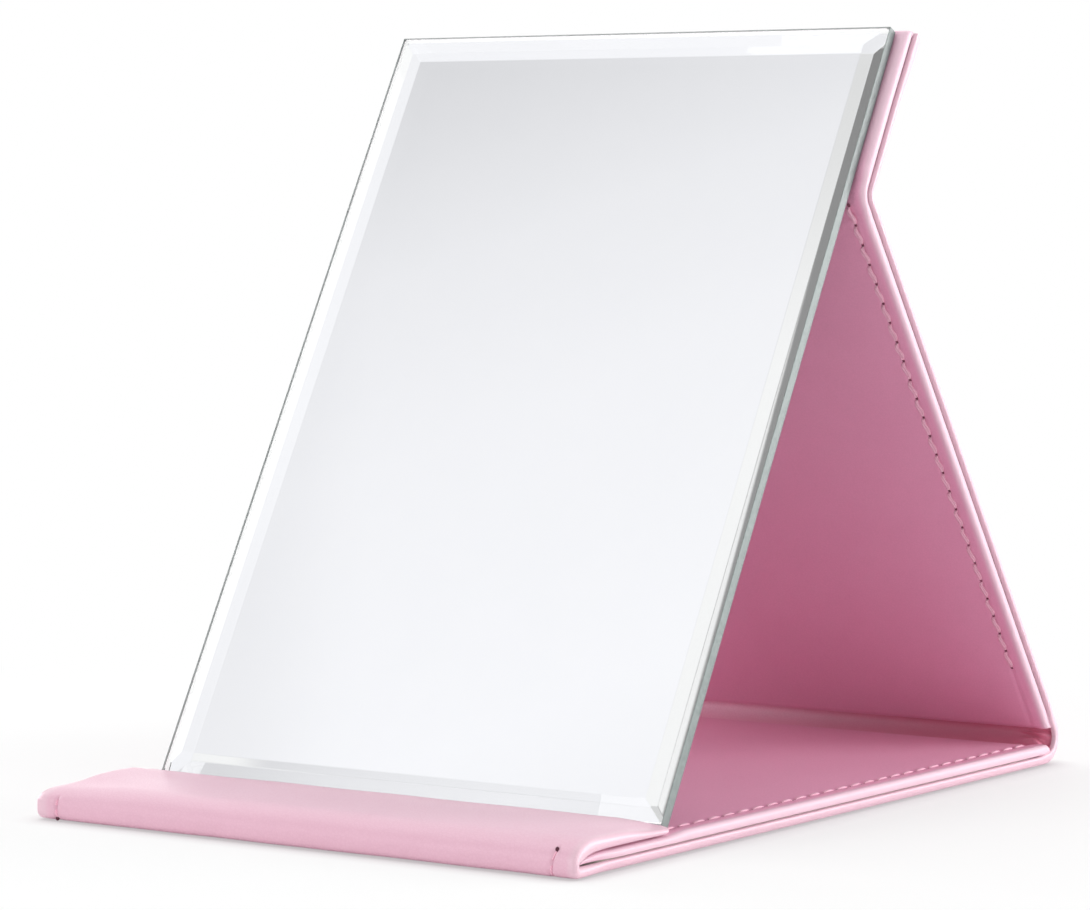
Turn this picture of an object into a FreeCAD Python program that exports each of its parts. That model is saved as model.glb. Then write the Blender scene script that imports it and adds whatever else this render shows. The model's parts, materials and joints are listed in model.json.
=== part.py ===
import FreeCAD, Part
import math
import os
import Sketcher

# Folding makeup mirror: a bevelled mirror glass on a leather-covered book-style stand.
# Millimetres. +X is the viewer's right, +Y goes to the rear, +Z is up, and the origin is the
# middle of the footprint on the table. The stand is drawn as it stands in use: the base lies
# flat, the front flap is folded back on it, and the glass leans on the base behind the flap.

SIZES = {
    # The cover and its layers
    "cover_width": 148.0,
    "leather_thickness": 1.0,
    "lining_thickness": 1.0,
    "board_thickness": 3.0,
    "flap_board_thickness": 0.7,
    "board_clearance": 0.2,
    "edge_radius": 1.7,
    "edge_share": 0.8,
    "edge_gap": 0.4,
    "corner_radius": 1.8,
    "hinge_clearance": 0.15,
    "cut_margin": 1.0,
    # The panels, from hinge line to hinge line
    "base_length": 207.5,
    "flap_length": 33.4,
    "back_length": 160.0,
    "top_length": 43.0,
    "nose_setback": 2.1,
    "spine_setback": 0.8,
    # The two soft spines as they stand
    "flap_gap": 0.3,
    "front_spine_offset": 2.5,
    "front_spine_bulge": 2.0,
    "rear_spine_rise": 10.5,
    "rear_spine_offset": 2.8,
    "rear_spine_bulge": 3.0,
    "spine_lining_gap": 0.05,
    "spine_lining_inset": 5.3,
    "spine_lining_share": 0.62,
    # The bend between the back panel and the top strip
    "crease_radius": 3.5,
    "crease_thickness": 2.8,
    "crease_clearance": 0.35,
    # The mirror
    "mirror_width": 141.0,
    "mirror_height": 199.0,
    "top_overhang": 1.5,
    "glass_thickness": 4.0,
    "bevel_width": 7.0,
    "bevel_depth": 1.5,
    "silver_thickness": 0.2,
    "silver_inset": 0.4,
    "tape_thickness": 0.5,
    "tape_width": 11.0,
    "tape_length": 126.0,
    "tape_spacing": 17.0,
    "tape_inset": 8.0,
    "foot_gap": 0.35,
    "foot_clearance": 0.3,
    # The sewn seam along the sides
    "seam_inset": 5.0,
    "seam_end_margin": 6.0,
    "channel_width": 1.3,
    "channel_depth": 0.35,
    "stitch_pitch": 6.3,
    "stitch_length": 4.4,
    "stitch_width": 0.9,
    "stitch_crown": 0.45,
    "stitch_height": 0.35,
}

TOLERANCE = 1e-4

doc = FreeCAD.newDocument("FoldingMirror")
sheet = doc.addObject("Spreadsheet::Sheet", "Sizes")
for row, (alias, value) in enumerate(SIZES.items(), start=1):
    sheet.set(f"A{row}", alias)
    sheet.set(f"B{row}", str(value))
    sheet.setAlias(f"B{row}", alias)
doc.recompute()

subparts = []


def cell(name):
    return f"Sizes.{name}"


def number(expression):
    return float(sheet.evalExpression(expression))


def size(name):
    return number(cell(name))


# Expressions that several pieces share
half_width = "Sizes.cover_width / 2"
panel_thickness = "(Sizes.leather_thickness + Sizes.board_thickness + Sizes.lining_thickness)"
flap_thickness = "(Sizes.leather_thickness + Sizes.flap_board_thickness + Sizes.lining_thickness)"
hinge_gap = "(Sizes.leather_thickness / 2 + Sizes.hinge_clearance)"
crease_setback = "(Sizes.crease_tangent + Sizes.crease_clearance)"
mirror_top = "(Sizes.top_length - Sizes.top_overhang)"
mirror_foot = "(Sizes.top_length - Sizes.top_overhang - Sizes.mirror_height)"


def arc_radius(chord, bulge):
    return (chord ** 2 / 4 + bulge ** 2) / (2 * bulge)


def arc_half_angle(chord, bulge):
    return 2 * math.atan2(2 * bulge, chord)


def turned(y, z, angle):
    return (y * math.cos(angle) - z * math.sin(angle), y * math.sin(angle) + z * math.cos(angle))


# Standing pose, worked out in the side view as (y, z) with y = 0 at the front hinge line
leather = size("leather_thickness")
panel = number(panel_thickness)
flap_stack = number(flap_thickness)

front_hinge = (0.0, leather / 2)
front_rise = panel + size("flap_gap") + flap_stack - leather
front_chord = math.hypot(front_rise, size("front_spine_offset"))
front_lean = math.atan2(front_rise, size("front_spine_offset"))
flap_hinge = (front_hinge[0] + size("front_spine_offset"), front_hinge[1] + front_rise)

rear_hinge = (size("base_length"), leather / 2)
rear_chord = math.hypot(size("rear_spine_rise"), size("rear_spine_offset"))
rear_lean = math.atan2(size("rear_spine_rise"), size("rear_spine_offset"))
back_hinge = (rear_hinge[0] + size("rear_spine_offset"), rear_hinge[1] + size("rear_spine_rise"))

# The foot of the glass stands on the base lining behind the flap, and its rear edge touches first.
foot_edge = size("glass_thickness") - size("bevel_depth")
foot = (flap_hinge[0] + size("flap_length") + size("foot_gap") + foot_edge,
        panel + size("foot_clearance"))
glass_offset = panel / 2 + size("tape_thickness") + size("silver_thickness")
foot_reach = -number(mirror_foot)
crease_in_back = (size("back_length"), panel / 2 - leather / 2)

# The crease is where the back panel's circle about its hinge meets the mirror's about its foot.
back_reach = math.hypot(*crease_in_back)
mirror_reach = math.hypot(foot_reach, glass_offset)
span = math.dist(back_hinge, foot)
span_direction = math.atan2(foot[1] - back_hinge[1], foot[0] - back_hinge[0])
hinge_corner = math.acos((back_reach ** 2 + span ** 2 - mirror_reach ** 2) / (2 * back_reach * span))
crease_direction = span_direction - hinge_corner
crease = (back_hinge[0] + back_reach * math.cos(crease_direction),
          back_hinge[1] + back_reach * math.sin(crease_direction))
back_turn = crease_direction - math.atan2(crease_in_back[1], crease_in_back[0])
back_turn %= 2 * math.pi
mirror_turn = math.atan2(foot[1] - crease[1], foot[0] - crease[0]) - math.atan2(glass_offset, -foot_reach)
mirror_turn %= 2 * math.pi
crease_turn = back_turn - mirror_turn

# The soft spines are arcs, and their outer skins give the ends of the footprint.
front_radius = arc_radius(front_chord, size("front_spine_bulge"))
front_half_angle = arc_half_angle(front_chord, size("front_spine_bulge"))
front_normal = front_lean + math.pi / 2
front_sink = front_radius - size("front_spine_bulge")
front_centre = ((front_hinge[0] + flap_hinge[0]) / 2 - front_sink * math.cos(front_normal),
                (front_hinge[1] + flap_hinge[1]) / 2 - front_sink * math.sin(front_normal))

rear_radius = arc_radius(rear_chord, size("rear_spine_bulge"))
rear_half_angle = arc_half_angle(rear_chord, size("rear_spine_bulge"))
rear_normal = rear_lean - math.pi / 2
rear_sink = rear_radius - size("rear_spine_bulge")
rear_centre = ((rear_hinge[0] + back_hinge[0]) / 2 - rear_sink * math.cos(rear_normal),
               (rear_hinge[1] + back_hinge[1]) / 2 - rear_sink * math.sin(rear_normal))

front_end = front_centre[0] - front_radius - leather / 2
rear_end = rear_centre[0] + rear_radius + leather / 2
middle = (front_end + rear_end) / 2

# Values that follow from the pose sit in the sheet beside the driving sizes.
DERIVED = {
    "front_radius": front_radius,
    "front_half_angle": math.degrees(front_half_angle),
    "rear_radius": rear_radius,
    "rear_half_angle": math.degrees(rear_half_angle),
    "crease_turn": math.degrees(crease_turn),
    "crease_tangent": size("crease_radius") * math.tan(crease_turn / 2),
}
for row, (alias, value) in enumerate(DERIVED.items(), start=len(SIZES) + 1):
    sheet.set(f"A{row}", alias)
    sheet.set(f"B{row}", str(value))
    sheet.setAlias(f"B{row}", alias)
doc.recompute()


def new_body(label):
    body = doc.addObject("PartDesign::Body", label)
    body.Label = label
    subparts.append(body)
    return body


def new_sketch(body, name, height="0", role="XY_Plane"):
    sketch = body.newObject("Sketcher::SketchObject", name)
    support = next(plane for plane in body.Origin.OriginFeatures if plane.Role == role)
    sketch.AttachmentSupport = [(support, "")]
    sketch.MapMode = "FlatFace"
    sketch.setExpression("AttachmentOffset.Base.z", height)
    return sketch


def add_outline(sketch, corners):
    points = [FreeCAD.Vector(number(across), number(along), 0) for across, along in corners]
    first = sketch.GeometryCount
    for start, end in zip(points, points[1:] + points[:1]):
        sketch.addGeometry(Part.LineSegment(start, end))
    for step, corner in enumerate(corners):
        line = first + step
        following = first + (step + 1) % len(corners)
        sketch.addConstraint(Sketcher.Constraint("Coincident", line, 2, following, 1))
        for kind, expression in zip(("DistanceX", "DistanceY"), corner):
            index = sketch.addConstraint(Sketcher.Constraint(kind, -1, 1, line, 1, number(expression)))
            sketch.setExpression(f"Constraints[{index}]", expression)


def rectangle(left, right, front, rear):
    return [(left, front), (right, front), (right, rear), (left, rear)]


def add_pad(body, sketch, length, name="Pad"):
    pad = body.newObject("PartDesign::Pad", name)
    pad.Profile = sketch
    pad.setExpression("Length", length)
    body.Tip = pad
    doc.recompute()
    return pad


def add_pocket(body, sketch, depth, upward=False, name="Pocket"):
    before = body.Shape.Volume
    pocket = body.newObject("PartDesign::Pocket", name)
    pocket.Profile = sketch
    pocket.Reversed = upward
    pocket.setExpression("Length", depth)
    body.Tip = pocket
    doc.recompute()
    if body.Shape.Volume >= before:
        raise ValueError(f"{body.Label}: the pocket {name} cuts nothing")
    return pocket


def add_fillet(body, base, radius, wanted, name="Fillet"):
    edges = [f"Edge{index}" for index, edge in enumerate(base.Shape.Edges, start=1) if wanted(edge)]
    fillet = body.newObject("PartDesign::Fillet", name)
    fillet.Base = (base, edges)
    fillet.setExpression("Radius", radius)
    body.Tip = fillet
    doc.recompute()
    return fillet


def add_turn(body, sketch, angle, name="Turn"):
    turn = body.newObject("PartDesign::Revolution", name)
    turn.Profile = sketch
    turn.ReferenceAxis = (sketch, ["H_Axis"])
    turn.Midplane = True
    turn.setExpression("Angle", angle)
    body.Tip = turn
    doc.recompute()
    return turn


def near(value, target):
    return abs(value - target) < TOLERANCE


def is_upright(edge):
    box = edge.BoundBox
    return near(box.XLength, 0) and near(box.YLength, 0)


def side_edges(height):
    # Edges that run along the panel at its left and right sides
    reach = number(half_width)

    def wanted(edge):
        box = edge.BoundBox
        return near(abs(box.Center.x), reach) and near(box.ZMin, height) and near(box.ZMax, height)

    return wanted


def rim_edges(height):
    # All edges of the outer outline at one height
    def wanted(edge):
        box = edge.BoundBox
        return near(box.ZMin, height) and near(box.ZMax, height)

    return wanted


def place(body, pivot, position, angle, axis="X"):
    # Turns the piece about the pivot in its own side view, then moves the pivot to the position.
    axes = {"X": FreeCAD.Vector(1, 0, 0), "Y": FreeCAD.Vector(0, 1, 0)}
    centre = FreeCAD.Vector(0, *pivot)
    target = FreeCAD.Vector(0, position[0] - middle, position[1])
    rotation = FreeCAD.Rotation(axes[axis], math.degrees(angle))
    body.Placement = FreeCAD.Placement(target - centre, rotation, centre)


def rim_height(thickness):
    return f"({thickness} / 2 - Sizes.edge_gap / 2)"


def roll_radius(thickness):
    return f"min(Sizes.edge_radius; Sizes.edge_share * {rim_height(thickness)})"


def make_leather(label, front, rear, thickness, free_end=False):
    # Outer leather: it lies under the board and turns up round the sides to the edge groove.
    # A free end is turned up as well, and its corners are rounded.
    body = new_body(label)
    outline = new_sketch(body, "Outline")
    add_outline(outline, rectangle(f"-{half_width}", half_width, front, rear))
    solid = add_pad(body, outline, rim_height(thickness))
    rear_end_line = number(rear)
    if free_end:
        solid = add_fillet(body, solid, cell("corner_radius"),
                           lambda edge: is_upright(edge) and near(edge.BoundBox.YMin, rear_end_line),
                           "Corners")
    sides = side_edges(0)

    def rolled(edge):
        box = edge.BoundBox
        low = near(box.ZMin, 0) and near(box.ZMax, 0)
        at_free_end = box.YMax > rear_end_line - size("corner_radius") - TOLERANCE
        return sides(edge) or (free_end and low and at_free_end)

    solid = add_fillet(body, solid, roll_radius(thickness), rolled, "Roll")
    hollow = new_sketch(body, "Hollow", rim_height(thickness))
    hollow_rear = f"{rear} - Sizes.leather_thickness" if free_end else f"{rear} + Sizes.cut_margin"
    add_outline(hollow, rectangle(f"-{half_width} + Sizes.leather_thickness",
                                  f"{half_width} - Sizes.leather_thickness",
                                  f"{front} - Sizes.cut_margin", hollow_rear))
    add_pocket(body, hollow, f"{rim_height(thickness)} - Sizes.leather_thickness")
    return body


def make_lining(label, front, rear, thickness, seam=True):
    # Lining: it lies over the board and turns down round all four edges to the edge groove.
    # A shallow channel along each side takes the seam.
    body = new_body(label)
    floor = f"({thickness} / 2 + Sizes.edge_gap / 2)"
    outline = new_sketch(body, "Outline", floor)
    add_outline(outline, rectangle(f"-{half_width}", half_width, front, rear))
    solid = add_pad(body, outline, rim_height(thickness))
    solid = add_fillet(body, solid, roll_radius(thickness), rim_edges(number(thickness)), "Roll")
    hollow = new_sketch(body, "Hollow", floor)
    add_outline(hollow, rectangle(f"-{half_width} + Sizes.lining_thickness",
                                  f"{half_width} - Sizes.lining_thickness",
                                  f"{front} + Sizes.lining_thickness",
                                  f"{rear} - Sizes.lining_thickness"))
    add_pocket(body, hollow, f"{rim_height(thickness)} - Sizes.lining_thickness", upward=True)
    if seam:
        channel = new_sketch(body, "Channel", thickness)
        for side in ("-1", "1"):
            middle_line = f"{side} * ({half_width} - Sizes.seam_inset)"
            add_outline(channel, rectangle(f"{middle_line} - Sizes.channel_width / 2",
                                           f"{middle_line} + Sizes.channel_width / 2",
                                           f"{front} + Sizes.seam_end_margin / 2",
                                           f"{rear} - Sizes.seam_end_margin / 2"))
        add_pocket(body, channel, cell("channel_depth"), name="SeamChannel")
    return body


def make_board(label, front, rear, thickness):
    # Stiff board, clear of the turned edges and face to face with the leather and the lining
    body = new_body(label)
    outline = new_sketch(body, "Outline", cell("leather_thickness"))
    inset = "(Sizes.leather_thickness + Sizes.board_clearance)"
    add_outline(outline, rectangle(f"-{half_width} + {inset}", f"{half_width} - {inset}",
                                   f"{front} + Sizes.lining_thickness + Sizes.board_clearance",
                                   f"{rear} - Sizes.lining_thickness - Sizes.board_clearance"))
    add_pad(body, outline, f"{thickness} - Sizes.leather_thickness - Sizes.lining_thickness")
    return body


def make_seam(label, front, rear, thickness):
    # A row of stitches along each side: crowned bars of thread that lie in the lining's channels
    body = new_body(label)
    body.AllowCompound = True
    first = f"({front} + Sizes.seam_end_margin)"
    run = f"({rear} - {front} - 2 * Sizes.seam_end_margin - Sizes.stitch_length)"
    profile = new_sketch(body, "Thread", f"-1 * {first}", role="XZ_Plane")
    floor = f"({thickness} - Sizes.channel_depth)"
    for side in ("-1", "1"):
        line = f"{side} * ({half_width} - Sizes.seam_inset)"
        add_outline(profile, [(f"{line} - Sizes.stitch_width / 2", floor),
                              (f"{line} + Sizes.stitch_width / 2", floor),
                              (f"{line} + Sizes.stitch_crown / 2", f"{floor} + Sizes.stitch_height"),
                              (f"{line} - Sizes.stitch_crown / 2", f"{floor} + Sizes.stitch_height")])
    stitch = add_pad(body, profile, cell("stitch_length"), "Stitch")
    stitch.Reversed = True
    row = body.newObject("PartDesign::LinearPattern", "Row")
    row.Originals = [stitch]
    along = next(axis for axis in body.Origin.OriginFeatures if axis.Role == "Y_Axis")
    row.Direction = (along, [""])
    row.Mode = "Spacing"
    row.setExpression("Offset", cell("stitch_pitch"))
    row.setExpression("Occurrences", f"floor({run} / Sizes.stitch_pitch) + 1")
    body.Tip = row
    doc.recompute()
    return body


def make_spine_leather(label, radius, half_angle):
    # Outer leather of a soft spine: a curved strip with a round bead on each hinge line.
    # It is drawn about the middle of its curve, with the bulge towards +Y.
    body = new_body(label)
    section = new_sketch(body, "Section")
    add_outline(section, rectangle(f"-{half_width}", half_width,
                                   f"{radius} - Sizes.leather_thickness / 2",
                                   f"{radius} + Sizes.leather_thickness / 2"))
    add_turn(body, section, f"2 * {half_angle}")
    for name, side in (("LowerBead", "-1"), ("UpperBead", "1")):
        bead = body.newObject("PartDesign::AdditiveCylinder", name)
        bead.setExpression("Radius", "Sizes.leather_thickness / 2")
        bead.setExpression("Height", cell("cover_width"))
        bead.Placement.Rotation = FreeCAD.Rotation(FreeCAD.Vector(0, 1, 0), 90)
        bead.setExpression("Placement.Base.x", f"-{half_width}")
        bead.setExpression("Placement.Base.y", f"{radius} * cos({half_angle} * 1 deg)")
        bead.setExpression("Placement.Base.z", f"{side} * {radius} * sin({half_angle} * 1 deg)")
        body.Tip = bead
        doc.recompute()
    return body


def make_spine_lining(label, radius, half_angle):
    # Lining of a soft spine: a narrower and shorter strip bonded to the inside of the leather
    body = new_body(label)
    section = new_sketch(body, "Section")
    reach = f"({half_width} - Sizes.spine_lining_inset)"
    outer = f"({radius} - Sizes.leather_thickness / 2 - Sizes.spine_lining_gap)"
    add_outline(section, rectangle(f"-{reach}", reach, f"{outer} - Sizes.lining_thickness", outer))
    add_turn(body, section, f"2 * Sizes.spine_lining_share * {half_angle}")
    return body


def make_crease(label, inner_edge, wall, rim_edge):
    # One layer of the soft bend: a full-width strip with a rim along each side, turned about
    # the middle of the bend. Every level is a distance from that middle.
    body = new_body(label)
    section = new_sketch(body, "Section")
    side_wall = f"({half_width} - Sizes.leather_thickness)"
    add_outline(section, [(f"-{half_width}", inner_edge), (half_width, inner_edge),
                          (half_width, rim_edge), (side_wall, rim_edge), (side_wall, wall),
                          (f"-{side_wall}", wall), (f"-{side_wall}", rim_edge),
                          (f"-{half_width}", rim_edge)])
    add_turn(body, section, cell("crease_turn"))
    return body


def make_cover_panel(name, front, rear, thickness, lining_front, lining_rear, free_end=False):
    return [make_leather(f"{name}_leather", front, rear, thickness, free_end),
            make_board(f"{name}_board", lining_front, lining_rear, thickness),
            make_lining(f"{name}_lining", lining_front, lining_rear, thickness),
            make_seam(f"{name}_seam", lining_front, lining_rear, thickness)]


# Base panel, flat on the table
axis_level = leather / 2
for piece in make_cover_panel("base", hinge_gap, f"Sizes.base_length - {hinge_gap}", panel_thickness,
                              cell("nose_setback"), "Sizes.base_length - Sizes.spine_setback"):
    place(piece, (0, axis_level), front_hinge, 0)

# Front flap, drawn lining up and then rolled over on to the base
for piece in make_cover_panel("flap", hinge_gap, cell("flap_length"), flap_thickness,
                              cell("spine_setback"), cell("flap_length"), free_end=True):
    place(piece, (0, axis_level), flap_hinge, math.pi, axis="Y")

# Back panel, leaning forward from the rear spine up to the crease
back_end = f"Sizes.back_length - {crease_setback}"
for piece in make_cover_panel("back", hinge_gap, back_end, panel_thickness,
                              cell("spine_setback"), back_end):
    place(piece, (0, axis_level), back_hinge, back_turn)

# Top strip behind the glass, drawn from the crease up to its free end
for piece in (make_leather("top_leather", crease_setback, cell("top_length"), panel_thickness, True),
              make_board("top_board", crease_setback, cell("top_length"), panel_thickness),
              make_lining("top_lining", crease_setback, cell("top_length"), panel_thickness, seam=False)):
    place(piece, (0, panel / 2), crease, mirror_turn)

# Soft spines and the bend
place(make_spine_leather("front_spine_leather", cell("front_radius"), cell("front_half_angle")),
      (0, 0), front_centre, front_normal)
place(make_spine_lining("front_spine_lining", cell("front_radius"), cell("front_half_angle")),
      (0, 0), front_centre, front_normal)
place(make_spine_leather("rear_spine_leather", cell("rear_radius"), cell("rear_half_angle")),
      (0, 0), rear_centre, rear_normal)
place(make_spine_lining("rear_spine_lining", cell("rear_radius"), cell("rear_half_angle")),
      (0, 0), rear_centre, rear_normal)

bend_normal = (back_turn + mirror_turn) / 2 + math.pi / 2
bend_depth = size("crease_radius") / math.cos(crease_turn / 2)
bend_centre = (crease[0] - bend_depth * math.cos(bend_normal), crease[1] - bend_depth * math.sin(bend_normal))
inside = "(Sizes.crease_radius - Sizes.crease_thickness / 2)"
outside = "(Sizes.crease_radius + Sizes.crease_thickness / 2)"
place(make_crease("crease_leather", inside, f"{inside} + Sizes.leather_thickness",
                  "Sizes.crease_radius - Sizes.edge_gap / 2"),
      (0, 0), bend_centre, bend_normal)
place(make_crease("crease_lining", outside, f"{outside} - Sizes.lining_thickness",
                  "Sizes.crease_radius + Sizes.edge_gap / 2"),
      (0, 0), bend_centre, bend_normal)


def make_glass():
    # Mirror glass with a bevel all round its face: the bevels meet in mitres at the corners.
    body = new_body("mirror_glass")
    level = f"({panel_thickness} + Sizes.tape_thickness + Sizes.silver_thickness)"
    edge = "(Sizes.glass_thickness - Sizes.bevel_depth)"
    reach = "Sizes.mirror_width / 2"
    full = rectangle(f"-{reach}", reach, mirror_foot, mirror_top)
    blank = new_sketch(body, "Blank", level)
    add_outline(blank, full)
    add_pad(body, blank, edge)
    shoulder = new_sketch(body, "Shoulder", f"{level} + {edge}")
    add_outline(shoulder, full)
    face = new_sketch(body, "Face", f"{level} + Sizes.glass_thickness")
    add_outline(face, rectangle(f"-{reach} + Sizes.bevel_width", f"{reach} - Sizes.bevel_width",
                                f"{mirror_foot} + Sizes.bevel_width",
                                f"{mirror_top} - Sizes.bevel_width"))
    bevel = body.newObject("PartDesign::AdditiveLoft", "Bevel")
    bevel.Profile = shoulder
    bevel.Sections = [face]
    bevel.Ruled = True
    body.Tip = bevel
    doc.recompute()
    return body


def make_silver():
    # Silver and paint coat on the back of the glass
    body = new_body("mirror_silvering")
    sketch = new_sketch(body, "Outline", f"{panel_thickness} + Sizes.tape_thickness")
    reach = "(Sizes.mirror_width / 2 - Sizes.silver_inset)"
    add_outline(sketch, rectangle(f"-{reach}", reach, f"{mirror_foot} + Sizes.silver_inset",
                                  f"{mirror_top} - Sizes.silver_inset"))
    add_pad(body, sketch, cell("silver_thickness"))
    return body


def make_tape():
    # Two strips of double-sided tape bond the glass to the top strip.
    body = new_body("bonding_tape")
    body.AllowCompound = True
    sketch = new_sketch(body, "Strip", panel_thickness)
    add_outline(sketch, rectangle("-Sizes.tape_length / 2", "Sizes.tape_length / 2",
                                  f"{mirror_top} - Sizes.tape_inset - Sizes.tape_width",
                                  f"{mirror_top} - Sizes.tape_inset"))
    strip = add_pad(body, sketch, cell("tape_thickness"))
    rows = body.newObject("PartDesign::LinearPattern", "Strips")
    rows.Originals = [strip]
    along = next(axis for axis in body.Origin.OriginFeatures if axis.Role == "Y_Axis")
    rows.Direction = (along, [""])
    rows.Reversed = True
    rows.Mode = "Spacing"
    rows.setExpression("Offset", cell("tape_spacing"))
    rows.Occurrences = 2
    body.Tip = rows
    doc.recompute()
    return body


for piece in (make_glass(), make_silver(), make_tape()):
    place(piece, (0, panel / 2), crease, mirror_turn)

doc.recompute()
for item in doc.Objects:
    if "Invalid" in item.State or "Error" in item.State:
        raise RuntimeError(f"{item.Label} failed: {item.State}")
for body in subparts:
    if body.Shape.isNull() or not body.Shape.isValid():
        raise RuntimeError(f"{body.Label} has no valid shape")

os.makedirs("parts", exist_ok=True)
for body in subparts:
    body.Shape.exportStep(os.path.join("parts", f"{body.Label}.step"))

print(f"footprint depth {rear_end - front_end:.3f}")
for name, point in (("front_hinge", front_hinge), ("flap_hinge", flap_hinge), ("rear_hinge", rear_hinge),
                    ("back_hinge", back_hinge), ("crease", crease), ("foot", foot)):
    print(f"{name} y {point[0] - middle:.4f} z {point[1]:.4f}")
for name, angle in (("front_lean", front_lean), ("rear_lean", rear_lean), ("back_turn", back_turn),
                    ("mirror_turn", mirror_turn), ("crease_turn", crease_turn)):
    print(f"{name} {math.degrees(angle):.4f} degrees")
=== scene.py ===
import json
from math import atan2, copysign, cos, degrees, dist, exp, inf, pi, radians, sin, sqrt, tan

import bpy
from mathutils import Matrix, Vector, noise


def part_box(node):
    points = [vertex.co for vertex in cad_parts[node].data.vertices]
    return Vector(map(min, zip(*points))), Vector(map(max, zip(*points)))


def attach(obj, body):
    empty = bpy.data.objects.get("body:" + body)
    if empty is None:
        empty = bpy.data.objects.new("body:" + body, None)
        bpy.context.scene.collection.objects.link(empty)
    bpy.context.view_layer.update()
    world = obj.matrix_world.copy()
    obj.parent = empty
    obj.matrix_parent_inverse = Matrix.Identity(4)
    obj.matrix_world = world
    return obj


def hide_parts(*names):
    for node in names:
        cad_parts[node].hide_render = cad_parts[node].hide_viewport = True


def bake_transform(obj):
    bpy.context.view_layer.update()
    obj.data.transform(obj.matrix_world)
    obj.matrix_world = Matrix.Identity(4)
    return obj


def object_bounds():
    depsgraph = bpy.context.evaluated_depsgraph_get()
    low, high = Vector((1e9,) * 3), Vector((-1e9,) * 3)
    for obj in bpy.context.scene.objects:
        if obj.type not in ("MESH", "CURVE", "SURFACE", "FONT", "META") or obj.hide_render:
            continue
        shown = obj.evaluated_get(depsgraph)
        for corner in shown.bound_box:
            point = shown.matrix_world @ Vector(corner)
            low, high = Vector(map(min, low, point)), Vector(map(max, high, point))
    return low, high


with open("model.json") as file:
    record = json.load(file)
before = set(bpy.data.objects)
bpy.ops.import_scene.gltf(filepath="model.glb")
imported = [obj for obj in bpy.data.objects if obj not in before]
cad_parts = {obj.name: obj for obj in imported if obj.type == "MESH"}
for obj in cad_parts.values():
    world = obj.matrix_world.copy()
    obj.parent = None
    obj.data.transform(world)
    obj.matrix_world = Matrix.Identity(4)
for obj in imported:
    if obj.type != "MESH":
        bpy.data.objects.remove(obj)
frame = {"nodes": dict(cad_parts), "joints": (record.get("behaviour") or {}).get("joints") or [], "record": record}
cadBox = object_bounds()
mm = 0.001

# Hinge lines and turns of the stand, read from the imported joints
joints = {joint["name"]: joint for joint in frame["joints"]}
couplings = {row["joint"]: row["ratio"] for row in frame["record"]["behaviour"]["couplings"]}


def hingeLine(name):
    place = joints[name]["pos_m"]
    return place[1] / mm, place[2] / mm


frontHinge = hingeLine("front_spine_fold")
flapHinge = hingeLine("flap_fold")
rearHinge = hingeLine("stand_fold")
backHinge = hingeLine("back_fold")
creaseLine = hingeLine("crease_fold")
rearLean = radians(joints["stand_fold"]["range_deg"][1])
backTurn = rearLean * (1 + couplings["back_fold"])
creaseTurn = rearLean * couplings["crease_fold"]
mirrorTurn = backTurn - creaseTurn

# Sizes are in millimetres.
cover = {
    "halfWidth": 74, "thickness": 5, "skin": 1, "roll": 1.8, "rimTop": 2.4, "rimFoot": 2.58,
    "baseLength": 207.5, "backLength": 160, "topLength": 43, "flapLength": 33.4, "flapThickness": 2.6,
    "seamInset": 5, "channelDepth": 0.2, "channelWidth": 0.75, "tuck": (1, ("x", 69.5, 73)),
}
half, roll, panelTop = cover["halfWidth"], cover["roll"], cover["thickness"]
rimTop, rimFoot = cover["rimTop"], cover["rimFoot"]
baseLength, backLength = cover["baseLength"], cover["backLength"]
topLength, flapLength = cover["topLength"], cover["flapLength"]
noseRun, spineRun, backInset = 12, 6, 0.8
halfSkin = cover["skin"] / 2
halfPanel = panelTop / 2
seamLine = half - cover["seamInset"]


def turned(pivot, angle, along, up):
    return (pivot[0] + along * cos(angle) - up * sin(angle),
            pivot[1] + along * sin(angle) + up * cos(angle))


# Each panel has its own length u and its own height w above its outer leather face.
def basePlace(u, w):
    return frontHinge[0] + u, w


def flapPlace(u, w):
    return flapHinge[0] + u, flapHinge[1] + halfSkin - w


def backPlace(u, w):
    return turned(backHinge, backTurn, u, w - halfSkin)


def topPlace(u, w):
    return turned(creaseLine, mirrorTurn, u, w - halfPanel)


def metres(y, z, x=0):
    return x * mm, y * mm, z * mm


def smooth(low, high, value):
    share = min(1, max(0, (value - low) / (high - low)))
    return share * share * (3 - 2 * share)


def effect(rule, **place):
    # A rule is an amount, and where it starts and is full along each axis.
    amount, *spans = rule
    for axis, low, high in spans:
        amount *= smooth(low, high, place[axis])
    return amount


def blendPairs(first, second, share):
    return [tuple(a + (b - a) * share for a, b in zip(p, q)) for p, q in zip(first, second)]


def spaced(first, last, step):
    count = max(1, round((last - first) / step))
    return [first + (last - first) * k / count for k in range(count + 1)]


def ripple(x, y, z, size, depth):
    return depth * noise.noise(Vector((x / size, y / size, z / size)))


# A socket of a node that takes part in sums
class Wire:
    def __init__(self, finish, socket):
        self.finish = finish
        self.socket = socket

    def combine(self, operation, first, second):
        return self.finish.add("Math", {0: first, 1: second}, operation=operation)

    def __add__(self, other):
        return self.combine("ADD", self, other)

    def __sub__(self, other):
        return self.combine("SUBTRACT", self, other)

    def __rsub__(self, other):
        return self.combine("SUBTRACT", other, self)

    def __mul__(self, other):
        return self.combine("MULTIPLY", self, other)


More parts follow.
